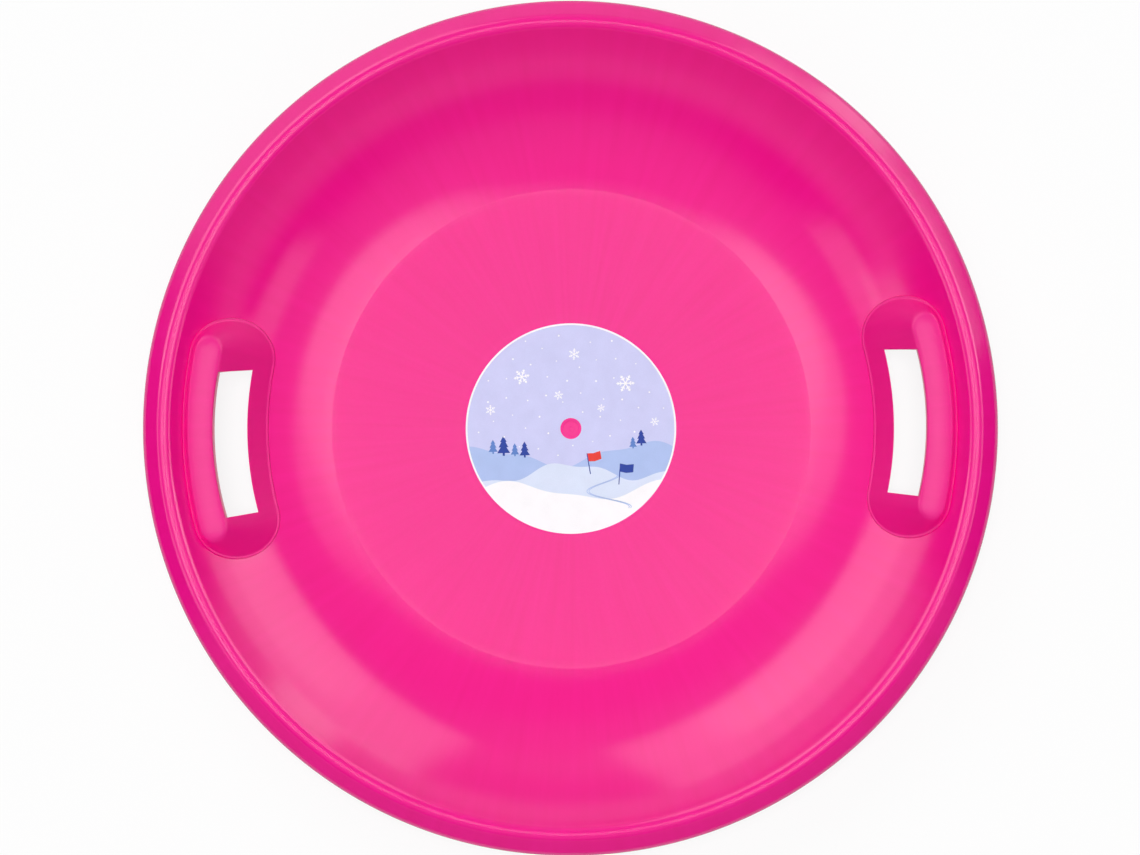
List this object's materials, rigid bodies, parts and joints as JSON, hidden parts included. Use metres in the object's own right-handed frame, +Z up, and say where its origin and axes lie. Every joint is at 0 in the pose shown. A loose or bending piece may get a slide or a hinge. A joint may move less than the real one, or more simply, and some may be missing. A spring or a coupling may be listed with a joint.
{
  "type": "saucer sled",
  "caption": "Round moulded snow saucer with a flat floor, curved flank, rolled rim, slotted clip-in handles and a round label; carries a seated rider over snow.",
  "frame": {"origin": "centre of the flat underside of the dish, on the ground", "axes": "+Z up out of the dish, +X through the right-hand handle, +Y towards the far side of the rim"},
  "size_m": [0.6, 0.6, 0.062],
  "materials": {
    "shell_plastic": "satin-gloss moulded polyethylene, bright pink",
    "handle_plastic": "satin-gloss moulded polyethylene, bright pink, a little more matt on the grip",
    "label_print": "printed self-adhesive paper, pale lavender"
  },
  "bodies": {
    "root": {"saucer_shell": "shell_plastic", "right_handle": "handle_plastic", "left_handle": "handle_plastic", "centre_label": "label_print"}
  },
  "joints": []
}
